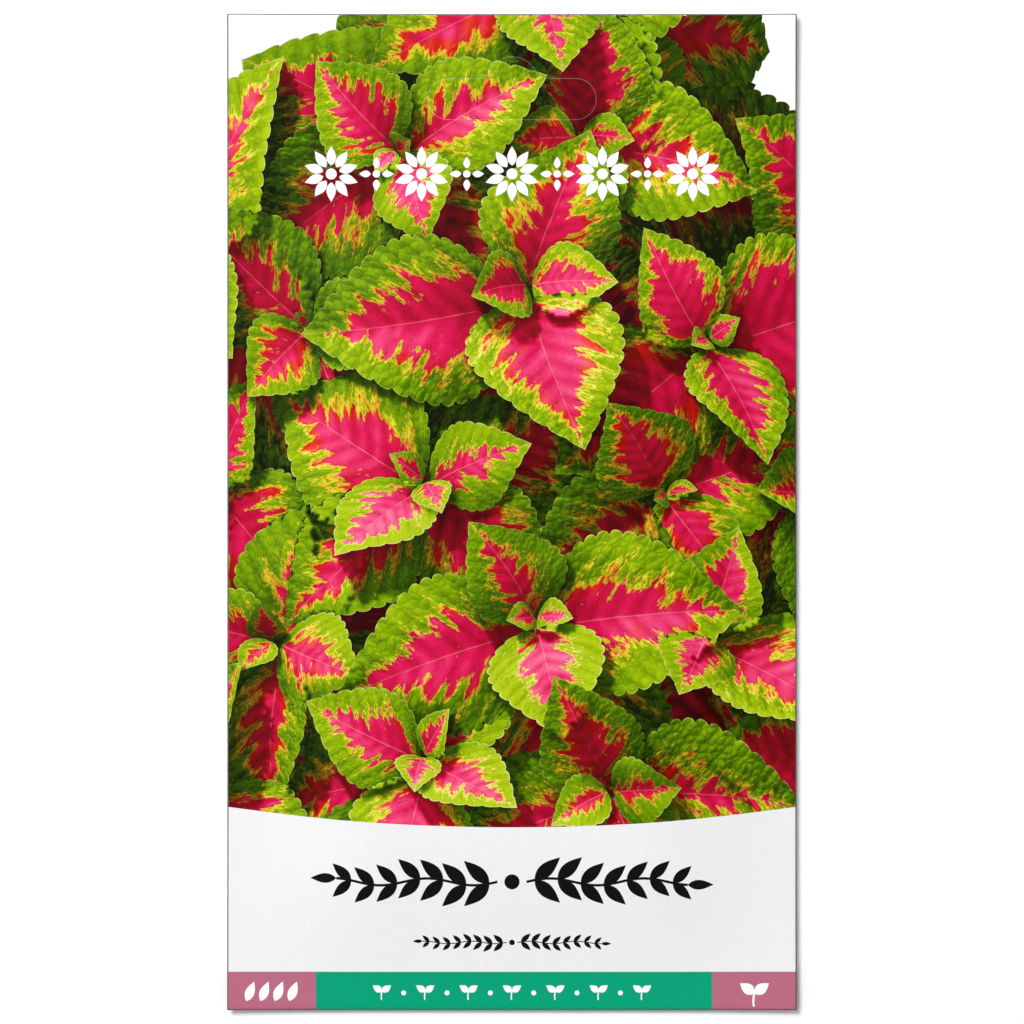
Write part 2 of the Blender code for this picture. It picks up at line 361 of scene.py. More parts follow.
class DepthMap:
    """The bush's front surface on a square grid, with the leaf that shows in each cell."""

    def __init__(self, leaves):
        x = MAP_LOW[0] + MAP_CELL * (np.arange(MAP_CELLS[0]) + 0.5)
        y = MAP_LOW[1] + MAP_CELL * (np.arange(MAP_CELLS[1]) + 0.5)
        across, up = np.meshgrid(x, y)
        spots = pair(across.ravel(), up.ravel())
        owner = np.full(len(spots), -1)
        depth = np.full(len(spots), BACK_DEPTH)
        for number, leaf in enumerate(leaves):
            near = within(spots, leaf.outline)
            if len(near):
                height = find_on_leaf(leaf, spots[near])[2]
                depth[near] = np.maximum(height, depth[near] + LEAF_GAP)
                owner[near] = number
        self.owner = owner.reshape(len(y), len(x))
        self.depth = depth.reshape(len(y), len(x))

    def cell(self, x, y):
        column = np.clip(((x - MAP_LOW[0]) / MAP_CELL).astype(int), 0, MAP_CELLS[0] - 1)
        row = np.clip(((y - MAP_LOW[1]) / MAP_CELL).astype(int), 0, MAP_CELLS[1] - 1)
        return row, column

    def look(self, points, direction, reach):
        """The depth some way off from each point."""
        x = points[:, 0] + reach * direction[0]
        y = points[:, 1] + reach * direction[1]
        return self.depth[self.cell(x, y)]

    def lift_out(self, points, number):
        """Raises a leaf's points to the map where the leaf had to lie over another."""
        cell = self.cell(points[:, 0], points[:, 1])
        mine = self.owner[cell] == number
        points[mine, 2] = np.maximum(points[mine, 2], self.depth[cell][mine])

    def enclosed(self, points):
        """True where leaves stand on nearly all sides: a dark gap and not the backdrop."""
        sides = 0
        for direction in compass(16):
            met = np.zeros(len(points), bool)
            for reach in np.arange(1.0, 16.0, 1.0):
                met |= self.look(points, direction, reach) > BACK_DEPTH
            sides = sides + met
        return sides >= 13

    def openness(self, points):
        """1 where the sky round a point is free, towards 0 deep between leaves."""
        closed = np.zeros(len(points))
        directions = compass(12, 0.5)
        for direction in directions:
            worst = np.zeros(len(points))
            for reach in (1.2, 2.5, 5.0, 9.0, 15.0):
                slope = (self.look(points, direction, reach) - points[:, 2] - 0.3) / reach
                worst = np.maximum(worst, slope / np.sqrt(1.0 + slope**2))
            closed += worst / len(directions)
        return 1.0 - closed

    def sunlight(self, points):
        """1 in the light and 0 in another leaf's shadow, with a soft edge."""
        flat = math.hypot(LIGHT[0], LIGHT[1])
        shade = np.zeros(len(points))
        for reach in np.arange(1.0, 26.0, 0.8):
            over = self.look(points, LIGHT / flat, reach) - points[:, 2]
            over -= reach * LIGHT[2] / flat
            shade = np.maximum(shade, smooth_step((over - 0.3) / (0.6 + 0.12 * reach)))
        return 1.0 - shade


def unit_rows(vectors):
    return vectors / (np.linalg.norm(vectors, axis=1)[:, None] + 1e-12)


def leaf_values(leaf, number, side, spots, depth_map):
    """What the leaf material reads at spots on one side (1 or -1) of the leaf's midrib."""
    u, a, _ = find_on_leaf(leaf, spots)
    a = side * np.maximum(side * a, 0.01)
    points = leaf_point(leaf, u, a)
    along = leaf_point(leaf, u + 0.002, a) - points
    across = side * (leaf_point(leaf, u, a + side * 0.05) - points)
    normal = unit_rows(np.cross(across, along))
    facing = np.sign(normal[:, 2:])
    normal = normal * np.where(facing == 0, 1.0, facing)
    along, across = unit_rows(along), unit_rows(across)

    depth_map.lift_out(points, number)
    lit = np.clip(normal @ LIGHT, 0.0, 1.0)
    sun = depth_map.sunlight(points)
    sky = depth_map.openness(points)
    glow = 0.5 + 0.5 * normal[:, 1]
    light = SUN * lit * sun + (SKY_ABOVE * glow + SKY_ROUND) * sky**1.15 + SKY_DEEP * sky
    light += LEAF_TONE * (math.modf(leaf.seed * 17.0)[0] - 0.5)

    # The cells run along the side veins, which bend forward towards the leaf's edge.
    pitch = leaf.length / SIDE_VEINS
    wide = np.abs(a)
    forward = 0.7 + 0.012 * wide
    cell_x = (u * leaf.length - forward * wide) / pitch
    cell_y = 0.5 * wide / pitch + 10.0 * side
    to_light_u, to_light_a = along @ LIGHT, across @ LIGHT
    shift_x = to_light_u - forward * side * to_light_a
    shift_y = 0.5 * side * to_light_a

    share = wide / np.maximum(blade_half_width(leaf, u), 0.05)
    early = 0.5 + 0.5 * smooth_step(u / 0.28)
    late = 1.0 - (np.maximum(u - 0.3, 0.0) / 0.62) ** 2
    heart = leaf.pink * early * late - share
    rim = scalloped_half_width(leaf, u) - wide
    coarse = np.full(len(u), min(1.0, max(0.15, (leaf.length - 8.0) / 16.0)))
    warm = np.clip(leaf.warm * 0.8 + 0.5 * (1.0 - sky), 0.0, 1.0)
    # Whole numbers keep the veins where they are and give each leaf its own patch of noise.
    cell_x += 9.0 * round(leaf.seed * 60.0)
    cell_y += 31.0 * round(leaf.warm * 60.0)
    found = {
        "leaf_cells": (cell_x, cell_y, np.zeros(len(u))),
        "leaf_shift": (shift_x, shift_y, coarse),
        "leaf_zones": (heart, rim, wide),
        "leaf_nature": (warm, u, light),
    }
    return {name: np.stack(values, axis=1) for name, values in found.items()}


# The packet's front


def corner_lift(x, y):
    """How far the packet's corners curl up."""
    across = np.maximum(0.0, np.abs(x) - FLAT_HALF_WIDTH) / (PACKET_WIDTH / 2 - FLAT_HALF_WIDTH)
    along = np.abs(y) / (PACKET_HEIGHT / 2)
    return CORNER_LIFT * across**3 * along**6


def front_rise(x, y):
    """How far the bag inside pushes the front up."""
    side = smooth_step((PACKET_WIDTH / 2 - np.abs(x)) / RISE_MARGIN)
    bottom = smooth_step((y + PACKET_HEIGHT / 2) / RISE_MARGIN)
    top = 1.0 - smooth_step((y - RISE_TOP) / RISE_TOP_FADE)
    return FRONT_RISE * side * bottom * top


LEVELS = {"flap": PAPER / 2}
LEVELS["back"] = LEVELS["flap"] + LAYER_PITCH
LEVELS["side"] = LEVELS["back"] + LAYER_PITCH
LEVELS["front"] = LEVELS["side"] + LAYER_PITCH
LEFT_RADIUS = (LEVELS["front"] - LEVELS["side"]) / 2
RIGHT_RADIUS = (LEVELS["front"] - LEVELS["back"]) / 2
END_RADIUS = (LEVELS["front"] - LEVELS["flap"]) / 2
MIDLINE_WIDTH = PACKET_WIDTH - PAPER
MIDLINE_HEIGHT = PACKET_HEIGHT - PAPER
LEFT_FOLD = -MIDLINE_WIDTH / 2 + LEFT_RADIUS
RIGHT_FOLD = MIDLINE_WIDTH / 2 - RIGHT_RADIUS
END_FOLD = MIDLINE_HEIGHT / 2 - END_RADIUS
FLAP_EDGE = MIDLINE_WIDTH / 2 - FLAP_INSET


def print_height(x, y):
    """The print's height over the table. It follows the front and rounds off over the folds."""
    height = LEVELS["front"] + PAPER / 2 + INK + corner_lift(x, y) + front_rise(x, y)
    for beyond, radius in (
        (LEFT_FOLD - x, LEFT_RADIUS),
        (x - RIGHT_FOLD, RIGHT_RADIUS),
        (np.abs(y) - END_FOLD, END_RADIUS),
    ):
        outer = radius + PAPER / 2 + INK
        beyond = np.clip(beyond, 0.0, outer)
        height = height - (outer - np.sqrt(outer**2 - beyond**2))
    return height


def arc(x, y, radius, start, end, points):
    turn = np.linspace(start, end, points)
    return pair(x + radius * np.cos(turn), y + radius * np.sin(turn))


def slot_line():
    """The hang slot's outline as closely spaced points: a bar with round ends and a hump."""
    end_x = SLOT_HALF_LENGTH - SLOT_HALF_HEIGHT
    start = math.asin(HUMP_SINK / HUMP_RADIUS)
    right = arc(end_x, 0.0, SLOT_HALF_HEIGHT, -math.pi / 2, math.pi / 2, 24)
    hump = arc(0.0, SLOT_HALF_HEIGHT - HUMP_SINK, HUMP_RADIUS, start, math.pi - start, 28)
    left = arc(-end_x, 0.0, SLOT_HALF_HEIGHT, math.pi / 2, 3 * math.pi / 2, 24)
    return np.concatenate([right, hump, left]) + np.array([0.0, SLOT_Y])


def slot_bands():
    """The four stretches of the cut line between its nicks, each a thin closed polygon."""
    corners = slot_line()
    closed = np.vstack([corners, corners[:1]])
    lengths = np.linalg.norm(np.diff(closed, axis=0), axis=1)
    reach = np.concatenate([[0.0], np.cumsum(lengths)])
    total = reach[-1]
    hump_top = SLOT_HALF_HEIGHT - HUMP_SINK + HUMP_RADIUS
    tip, bottom = SLOT_HALF_LENGTH, -SLOT_HALF_HEIGHT
    nicks = [(tip, 0.0), (0.0, hump_top), (-tip, 0.0), (0.0, bottom)]

    def at(s):
        wrapped = np.mod(s, total)
        x = np.interp(wrapped, reach, closed[:, 0])
        return pair(x, np.interp(wrapped, reach, closed[:, 1]))

    fine = np.linspace(0.0, total, 2000)
    spots = at(fine)
    stops = []
    for x, y in nicks:
        stops.append(fine[np.argmin(np.hypot(spots[:, 0] - x, spots[:, 1] - SLOT_Y - y))])
    bands = []
    for start, end in zip(stops, stops[1:] + stops[:1]):
        end += total if end < start else 0.0
        start, end = start + NICK_WIDTH / 2, end - NICK_WIDTH / 2
        s = np.linspace(start, end, max(2, int((end - start) / CUT_PITCH)))
        ahead = at(s + 0.02) - at(s - 0.02)
        normal = pair(ahead[:, 1], -ahead[:, 0])
        normal /= np.linalg.norm(normal, axis=1)[:, None]
        bands.append(ribbon(at(s), normal * CUT_GAP / 2))
    return bands


def panel_top(x):
    """The pale panel's arched top edge."""
    return PANEL_MIDDLE + (PANEL_EDGE - PANEL_MIDDLE) * (x / (PACKET_WIDTH / 2)) ** 2


def small_leaf(x, y, length, half_width, angle):
    """A plain pointed leaf outline, from its stalk end at x, y."""
    u = np.linspace(0.0, 1.0, 15)
    half = half_width * np.sin(np.pi * u**0.8)
    outline = pair(out_and_back(u) * length, out_and_back(half, -1.0))
    turn = np.array([[math.cos(angle), math.sin(angle)], [-math.sin(angle), math.cos(angle)]])
    return outline @ turn + np.array([x, y])


def dot(x, y, radius):
    return arc(x, y, radius, 0.0, 2 * math.pi, 19)[:-1]


def stem_band(x, y, width):
    """A thin band along the line through x, y."""
    slope = np.gradient(y, x)
    tilt = pair(-slope, np.ones(len(x))) / np.sqrt(1.0 + slope**2)[:, None]
    return ribbon(pair(x, y), tilt * width / 2)


def garland(centre_y, half_length, leaf_length, pairs):
    """A waved stem with leaves to both sides of a round bud, the left half the right one turned."""
    gap = leaf_length * 0.42
    x = np.linspace(gap, half_length - leaf_length * 0.75, 60)
    wave = leaf_length * 0.1 * np.sin((x - gap) * 2 * math.pi / (half_length - gap) * 2)
    shapes = [stem_band(x, wave, leaf_length * 0.075)]
    for k in range(pairs):
        share = (k + 0.35) / pairs
        spot = gap + share * (x[-1] - gap)
        size = leaf_length * (1.0 - 0.3 * share)
        for angle in np.radians([-42.0, 42.0]):
            shapes.append(small_leaf(spot, np.interp(spot, x, wave), size, size * 0.2, angle))
    shapes.append(small_leaf(x[-1], wave[-1], leaf_length * 0.75, leaf_length * 0.14, 0.0))
    shapes += [-shape for shape in shapes]
    shapes.append(dot(0.0, 0.0, leaf_length * 0.22))
    return [shape + np.array([0.0, centre_y]) for shape in shapes]


def sprout(x, y, size):
    """A seedling: a stalk and two rounded leaves."""
    stalk_y = np.linspace(y - size * 0.5, y, 8)
    stalk_x = x + size * 0.04 * np.sin((stalk_y - y) / size * 5.0)
    shapes = [ribbon(pair(stalk_x, stalk_y), np.array([-size * 0.035, 0.0]))]
    for angle in (35.0, 145.0):
        shapes.append(small_leaf(x, y - size * 0.04, size * 0.62, size * 0.19, math.radians(angle)))
    return shapes


def daisy(x, y, radius, petals):
    """Separate round petals about a button."""
    shapes = [dot(x, y, radius * 0.2)]
    for k in range(petals):
        angle = math.pi / 2 + 2 * math.pi * k / petals
        start_x, start_y = x + radius * 0.3 * math.cos(angle), y + radius * 0.3 * math.sin(angle)
        shapes.append(small_leaf(start_x, start_y, radius * 0.7, radius * 0.17, angle))
    return shapes


def ornaments():
    """Generic ornaments in the layout's quiet places, each list with the layer it is printed in."""
    white = []
    row_y, pitch = 54.6, 14.6
    for k in range(-2, 3):
        white += daisy(k * pitch, row_y, radius=4.5, petals=10)
    for k in range(-2, 2):
        x = (k + 0.5) * pitch
        white.append(dot(x, row_y, 0.6))
        for turn in np.radians([0.0, 90.0, 180.0, 270.0]):
            start_x, start_y = x + 0.9 * math.cos(turn), row_y + 0.9 * math.sin(turn)
            white.append(small_leaf(start_x, start_y, 1.9, 0.55, turn))

    dark = garland(centre_y=-59.5, half_length=32.5, leaf_length=5.6, pairs=7)
    dark += garland(centre_y=-69.4, half_length=16.0, leaf_length=2.1, pairs=8)

    strip_y = (STRIP_TOP - PACKET_HEIGHT / 2) / 2
    for k in range(-6, 7):
        x = k * 3.5
        white += sprout(x, strip_y, 2.9) if k % 2 == 0 else [dot(x, strip_y - 0.3, 0.4)]
    left = (LEFT_BLOCK_END - PACKET_WIDTH / 2) / 2
    right = (RIGHT_BLOCK_START + PACKET_WIDTH / 2) / 2
    for k in (-1.5, -0.5, 0.5, 1.5):
        x = left + 2.3 * k
        white.append(small_leaf(x - 0.6, strip_y - 1.6, 3.4, 0.75, math.radians(68.0)))
    white += sprout(right, strip_y - 0.2, 4.6)
    return {"ornament_dark": dark, "ornament_white": white}


class Plan:
    """Points and edges of the print, gathered for one triangulation."""

    def __init__(self):
        self.points = []
        self.edges = []
        self.count = 0

    def add_points(self, points):
        self.points.append(points)
        self.count += len(points)

    def add_line(self, points, closed=False):
        first, number = self.count, len(points)
        self.add_points(points)
        self.edges += [(first + k, first + k + 1) for k in range(number - 1)]
        if closed:
            self.edges.append((first + number - 1, first))

    def triangulate(self):
        points = np.vstack(self.points)
        vectors = [Vector(p) for p in points.tolist()]
        result = geometry.delaunay_2d_cdt(vectors, self.edges, [], 0, 1e-5, False)
        vertices = np.array([tuple(v) for v in result[0]])
        triangles = np.array([tuple(f) for f in result[2] if len(f) == 3])
        return vertices, triangles


def straight(start, end, pitch=LINE_PITCH):
    cells = max(1, round(math.dist(start, end) / pitch))
    return np.linspace(start, end, cells + 1)


def fold_lines():
    """Where the print is cut so that it can bend: x places and y places."""
    turns = np.radians([0.0, 20.0, 40.0, 55.0, 70.0, 84.0])
    left = LEFT_FOLD - (LEFT_RADIUS + PAPER / 2 + INK) * np.sin(turns)
    right = RIGHT_FOLD + (RIGHT_RADIUS + PAPER / 2 + INK) * np.sin(turns)
    end = END_FOLD + (END_RADIUS + PAPER / 2 + INK) * np.sin(turns)
    # The outermost lines bound the dark grey painted edge shade round the outline.
    side, top = PACKET_WIDTH / 2 - PAINTED_EDGE_SHADE_WIDTH, PACKET_HEIGHT / 2 - PAINTED_EDGE_SHADE_WIDTH
    return [*left, -side, *right, side], [*end, top, *-end, -top]


def hexagonal(low, high, pitch):
    """Points of a staggered grid that fill a box."""
    rows = np.arange(low[1], high[1], pitch * 0.87)
    spots = []
    for number, y in enumerate(rows):
        x = np.arange(low[0] + 0.5 * pitch * (number % 2), high[0], pitch)
        spots.append(pair(x, np.full(len(x), y)))
    return np.vstack(spots)


def plan_print(leaves):
    plan = Plan()
    x_lines, y_lines = fold_lines()
    low = np.array([min(x_lines), min(y_lines)])
    high = np.array([max(x_lines), max(y_lines)])
    for x in x_lines:
        plan.add_line(straight((x, low[1]), (x, high[1])))
    for y in y_lines:
        plan.add_line(straight((low[0], y), (high[0], y)))
    for x in (LEFT_BLOCK_END, RIGHT_BLOCK_START):
        plan.add_line(straight((x, low[1]), (x, STRIP_TOP)))
    plan.add_line(straight((low[0], STRIP_TOP), (high[0], STRIP_TOP), STRIP_PITCH))
    arc_x = np.linspace(low[0], high[0], 185)
    plan.add_line(pair(arc_x, panel_top(arc_x)))
    for band in slot_bands():
        plan.add_line(band, closed=True)
    for shapes in ornaments().values():
        for shape in shapes:
            plan.add_line(shape, closed=True)

    taken = set()

    def take(spots):
        taken.update(map(tuple, np.floor(spots / TAKEN_CELL).astype(int).tolist()))

    def uncovered(number, spots):
        """True for the spots of a leaf that no leaf over it hides and that are in the picture."""
        margin = 0.6
        shown = topmost(leaves, spots) <= number
        shown &= (np.abs(spots[:, 0]) < high[0] + margin) & (spots[:, 1] < high[1] + margin)
        return shown & (spots[:, 1] > panel_top(spots[:, 0]) - margin)

    for number, leaf in enumerate(leaves):
        seen = uncovered(number, leaf.outline)
        wanted = seen | np.roll(seen, 1) | np.roll(seen, -1)
        place = plan.count + np.cumsum(wanted) - 1
        for k in range(len(seen)):
            after = (k + 1) % len(seen)
            if wanted[k] and wanted[after] and (seen[k] or seen[after]):
                plan.edges.append((int(place[k]), int(place[after])))
        plan.add_points(leaf.outline[wanted])
        plan.add_points(leaf.inset[seen])
        take(leaf.outline[wanted])
        take(leaf.inset[seen])
        seen = uncovered(number, leaf.midrib)
        for k in np.flatnonzero(seen[:-1] & seen[1:]):
            plan.add_line(leaf.midrib[k : k + 2])
        take(leaf.midrib[seen])

    fill = hexagonal(low + 0.3, high - 0.3, FILL_PITCH)
    fill = fill[fill[:, 1] > panel_top(fill[:, 0])]
    cells = np.floor(fill / TAKEN_CELL).astype(int).tolist()
    free = [tuple(cell) not in taken for cell in cells]
    plan.add_points(fill[np.array(free)])
    plain = hexagonal(low + 0.8, high - 0.8, PLAIN_PITCH)
    plan.add_points(plain[plain[:, 1] < panel_top(plain[:, 0])])
    return plan, low, high


def sort_print(centres, owner, depth_map):
    """The layer that each triangle of the print belongs to, or -1 where there is no print."""
    x, y = centres.T
    number = {name: k for k, name in enumerate(LAYERS)}
    layer = np.where(owner >= 0, number["leaves"], number["backdrop"])
    layer[(owner < 0) & depth_map.enclosed(centres)] = number["hollow"]
    layer[y < panel_top(x)] = number["panel"]
    in_strip = y < STRIP_TOP
    layer[in_strip] = number["strip_blocks"]
    layer[in_strip & (x > LEFT_BLOCK_END) & (x < RIGHT_BLOCK_START)] = number["strip_middle"]
    for name, shapes in ornaments().items():
        for shape in shapes:
            layer[within(centres, shape)] = number[name]
    for band in slot_bands():
        layer[within(centres, band)] = -1
    # The thin band along the outline is painted dark grey as shade at the turning folds.
    at_side, at_end = PACKET_WIDTH / 2 - np.abs(x), PACKET_HEIGHT / 2 - np.abs(y)
    layer[np.minimum(at_side, at_end) < PAINTED_EDGE_SHADE_WIDTH] = number["painted_edge_shade"]
    return layer


def make_print(materials):
    leaves = grow_bush()
    rough_map = DepthMap(leaves)
    leaves = [leaf for number, leaf in enumerate(leaves) if (rough_map.owner == number).any()]
    depth_map = DepthMap(leaves)
    plan, low, high = plan_print(leaves)
    vertices, triangles = plan.triangulate()
    centres = vertices[triangles].mean(axis=1)
    on_sheet = ((centres > low) & (centres < high)).all(axis=1)
    triangles, centres = triangles[on_sheet], centres[on_sheet]
    owner = topmost(leaves, centres)
    layer = sort_print(centres, owner, depth_map)
    kept = layer >= 0
    triangles, centres, owner, layer = (rows[kept] for rows in (triangles, centres, owner, layer))
    used, triangles = np.unique(triangles, return_inverse=True)
    triangles = triangles.reshape(-1, 3)
    vertices = vertices[used]

    heights = print_height(vertices[:, 0], vertices[:, 1])
    points = np.column_stack([vertices, heights]) * MM
    mesh = bpy.data.meshes.new("front_print")
    mesh.from_pydata(points.tolist(), [], triangles.tolist())
    for name in LAYERS:
        mesh.materials.append(materials[name])
    mesh.polygons.foreach_set("material_index", layer.astype(np.int32))
    mesh.polygons.foreach_set("use_smooth", np.ones(len(triangles), bool))

    values = {}
    leaf_layer = LAYERS.index("leaves")
    for number, leaf in enumerate(leaves):
        mine = np.flatnonzero((owner == number) & (layer == leaf_layer))
        if len(mine) == 0:
            continue
        across = find_on_leaf(leaf, centres[mine])[1]
        for side in (-1.0, 1.0):
            half = mine[across * side > 0]
            if len(half) == 0:
                continue
            corners, places = np.unique(triangles[half], return_inverse=True)
            found = leaf_values(leaf, number, side, vertices[corners], depth_map)
            for name, rows in found.items():
                store = values.setdefault(name, np.zeros((len(triangles), 3, 3), np.float32))
                store[half] = rows[places.reshape(-1, 3)]
    for name, rows in values.items():
        attribute = mesh.attributes.new(name, "FLOAT_VECTOR", "CORNER")
        attribute.data.foreach_set("vector", rows.ravel())
    mesh.update()
    return make_object("front_print", mesh)


# Materials


def colour(code):
    """A linear colour from a screen colour's hexadecimal code."""
    shares = [int(code[k : k + 2], 16) / 255.0 for k in (1, 3, 5)]
    linear = [s / 12.92 if s <= 0.04045 else ((s + 0.055) / 1.055) ** 2.4 for s in shares]
    return (*linear, 1.0)


class Painter:
    """Adds shader nodes to one material and links them."""

    def __init__(self, name, roughness, specular):
        self.material = bpy.data.materials.new(name)
        self.material.use_nodes = True
        self.tree = self.material.node_tree
        self.shader = self.tree.nodes["Principled BSDF"]
        self.shader.inputs["Roughness"].default_value = roughness
        self.shader.inputs["Specular IOR Level"].default_value = specular

    def feed(self, socket, value):
        if isinstance(value, bpy.types.NodeSocket):
            self.tree.links.new(value, socket)
        else:
            socket.default_value = value

    def add(self, kind, output, inputs, **settings):
        node = self.tree.nodes.new(kind)
        for key, value in settings.items():
            setattr(node, key, value)
        for key, value in inputs.items():
            self.feed(node.inputs[key], value)
        return node.outputs[output]

    def maths(self, operation, first, second=0.0, third=0.0):
        values = {0: first, 1: second, 2: third}
        return self.add("ShaderNodeMath", 0, values, operation=operation)

    def times(self, first, second):
        return self.maths("MULTIPLY", first, second)

    def minus(self, first, second):
        return self.maths("SUBTRACT", first, second)

    def plus(self, first, *others):
        for other in others:
            first = self.maths("ADD", first, other)
        return first

    def scaled(self, value, gain, offset):
        return self.maths("MULTIPLY_ADD", value, gain, offset)

    def swing(self, value, size):
        """Turns 0 to 1 into a swing of the given size about 0."""
        return self.scaled(value, size, -size / 2)

    def band(self, value, start, end):
        """0 at start, 1 at end, smooth between."""
        inputs = {"Value": value, "From Min": start, "From Max": end}
        return self.add("ShaderNodeMapRange", 0, inputs, interpolation_type="SMOOTHSTEP")

    def mix(self, share, first, second, blend_type="MIX"):
        settings = {"data_type": "RGBA", "blend_type": blend_type}
        return self.add("ShaderNodeMix", 2, {0: share, 6: first, 7: second}, **settings)

    def ramp(self, position, stops):
        node = self.tree.nodes.new("ShaderNodeValToRGB")
        points = node.color_ramp.elements
        while len(points) < len(stops):
            points.new(0.5)
        for point, (place, code) in zip(points, stops):
            point.position = place
            point.color = colour(code)
        self.feed(node.inputs[0], position)
        return node.outputs[0]

    def vector(self, x, y):
        return self.add("ShaderNodeCombineXYZ", 0, {0: x, 1: y})

    def split(self, vector):
        node = self.tree.nodes.new("ShaderNodeSeparateXYZ")
        self.feed(node.inputs[0], vector)
        return node.outputs[0], node.outputs[1], node.outputs[2]

    def move(self, vector, step):
        return self.add("ShaderNodeVectorMath", 0, {0: vector, 1: step}, operation="ADD")

    def stretch(self, vector, scale):
        inputs = {0: vector, 1: scale}
        return self.add("ShaderNodeVectorMath", 0, inputs, operation="MULTIPLY")

    def noise(self, place, scale, detail=2.0, roughness=0.5, dimensions="3D"):
        inputs = {"Vector": place, "Scale": scale, "Detail": detail, "Roughness": roughness}
        return self.add("ShaderNodeTexNoise", 0, inputs, noise_dimensions=dimensions)

    def flat_noise(self, place, scale, detail=2.0, roughness=0.5):
        return self.noise(place, scale, detail, roughness, "2D")

    def attribute(self, name):
        return self.add("ShaderNodeAttribute", 1, {}, attribute_name=name)

    def place(self):
        """The spot on the object in millimetres."""
        spot = self.add("ShaderNodeTexCoord", "Object", {})
        return self.stretch(spot, (1000.0, 1000.0, 1000.0))

    def bump(self, height, strength, distance):
        inputs = {"Strength": strength, "Distance": distance, "Height": height}
        self.feed(self.shader.inputs["Normal"], self.add("ShaderNodeBump", 0, inputs))

    def paint(self, value):
        self.feed(self.shader.inputs["Base Color"], value)


def pale_line(painter):
    """1 on the thin line that shows round the hang slot's cut, 0 beside it."""
    x, y, _ = painter.split(painter.place())
    x = painter.maths("ABSOLUTE", x)
    y = painter.minus(y, SLOT_Y)

    def outside_circle(x, y, radius):
        inputs = {0: painter.vector(x, y)}
        reach = painter.add("ShaderNodeVectorMath", "Value", inputs, operation="LENGTH")
        return painter.minus(reach, radius)

    beyond = painter.maths("MAXIMUM", painter.minus(x, SLOT_HALF_LENGTH - SLOT_HALF_HEIGHT), 0.0)
    bar = outside_circle(beyond, y, SLOT_HALF_HEIGHT)
    hump = outside_circle(x, painter.minus(y, SLOT_HALF_HEIGHT - HUMP_SINK), HUMP_RADIUS)
    away = painter.maths("ABSOLUTE", painter.maths("MINIMUM", bar, hump))
    return painter.band(away, PALE_LINE / 2, PALE_LINE / 4)


def over_slot(make_colour):
    """The same colours, paler on the hang slot's line."""

    def paint(painter):
        line = pale_line(painter)
        shown = painter.mix(line, make_colour(painter), colour("#A0A0A0"), "DODGE")
        return painter.mix(painter.times(line, 0.09), shown, colour("#FFFFFF"))

    return paint


def coated(name, make_colour):
    """Silk-coated printed paper: the colour, faint ink mottle and a fine fibre relief."""
    painter = Painter(name, 0.45, 0.07)
    place = painter.place()
    mottle = painter.flat_noise(place, 1.6, 3.0, 0.7)
    base = make_colour(painter)
    shade = painter.mix(painter.band(mottle, 0.3, 0.7), colour("#FBFBFB"), colour("#FFFFFF"))
    painter.paint(painter.mix(1.0, base, shade, "MULTIPLY"))
    fibres = painter.flat_noise(place, 6.0, 2.0, 0.6)
    painter.bump(fibres, 0.05, 0.00003)
    return painter.material


def ramp_stops(*codes):
    """Colours for a tone from 0 to 1, with more of them in the middle tones."""
    return list(zip((0.0, 0.3, 0.5, 0.68, 0.84, 1.0), codes))


STRIP_MIDDLE = "#07A178"
STRIP_BLOCKS = "#B96B82"

GREEN = ramp_stops("#0E1600", "#2E4A00", "#4C7000", "#749A00", "#98B604", "#B8CE1A")
PINK = ramp_stops("#300204", "#840818", "#B60832", "#DC1852", "#F2467C", "#FC84A6")
RED = ramp_stops("#2A0200", "#7E0A04", "#B41208", "#D82416", "#F0503A", "#FC8A70")
YELLOW = ramp_stops("#3A2602", "#8A640C", "#C49A1A", "#E6C828", "#F6E63E", "#FFF690")
ORANGE = ramp_stops("#2A0A02", "#7A2A08", "#B4501C", "#E07E32", "#F6A850", "#FFCC8A")
RIM = ramp_stops("#101C02", "#4A5E0A", "#84962C", "#AFC04C", "#D6E27C", "#F4F6B8")
STAIN = "#6E0610"
MIDRIB = "#FFC8B4"
SIDE_VEIN = "#2A1404"


def leaf_tone(painter, cells, rough, coarse):
    """The relief's light and dark on a leaf, to add to the light that falls on its place."""
    cell_x, cell_y, _ = painter.split(cells)
    shift_x, shift_y, _ = painter.split(painter.attribute("leaf_shift"))
    flat_noise, times, swing = painter.flat_noise, painter.times, painter.swing

    # The cells lean with the side veins. This grid leans half as much.
    def upright(x, y):
        return painter.vector(painter.scaled(y, 0.8, x), times(y, 1.8))

    # Quilted blisters between the veins, lit from the light's side and dark in their creases.
    def blister(place, feature):
        settings = {"feature": feature, "voronoi_dimensions": "2D"}
        inputs = {"Vector": place, "Scale": 2.8, "Randomness": 0.9}
        if feature == "SMOOTH_F1":
            inputs["Smoothness"] = 0.35
        return painter.add("ShaderNodeTexVoronoi", "Distance", inputs, **settings)

    ground = upright(cell_x, cell_y)
    bend = times(flat_noise(ground, 1.8), 0.45)
    bent = painter.move(painter.vector(bend, painter.minus(0.45, bend)), ground)
    step = painter.stretch(upright(shift_x, shift_y), (0.07, 0.07, 0.0))
    moved = painter.move(bent, step)
    relief = painter.minus(blister(moved, "SMOOTH_F1"), blister(bent, "SMOOTH_F1"))
    relief = times(relief, painter.scaled(rough, 0.48, 0.06))
    crease = painter.band(blister(bent, "DISTANCE_TO_EDGE"), 0.14, 0.0)
    crease = times(crease, times(rough, -0.075))
    patches = swing(flat_noise(ground, 0.9, 3.0, 0.55), 0.24)
    grain = swing(flat_noise(painter.stretch(cells, (1.0, 2.0, 1.0)), 9.0, 3.0, 0.6), 0.09)
    swell = painter.maths("COSINE", times(cell_x, 2 * math.pi))
    swell = times(swell, painter.scaled(coarse, -0.03, -0.015))
    return ground, painter.plus(swell, relief, crease, patches, grain)


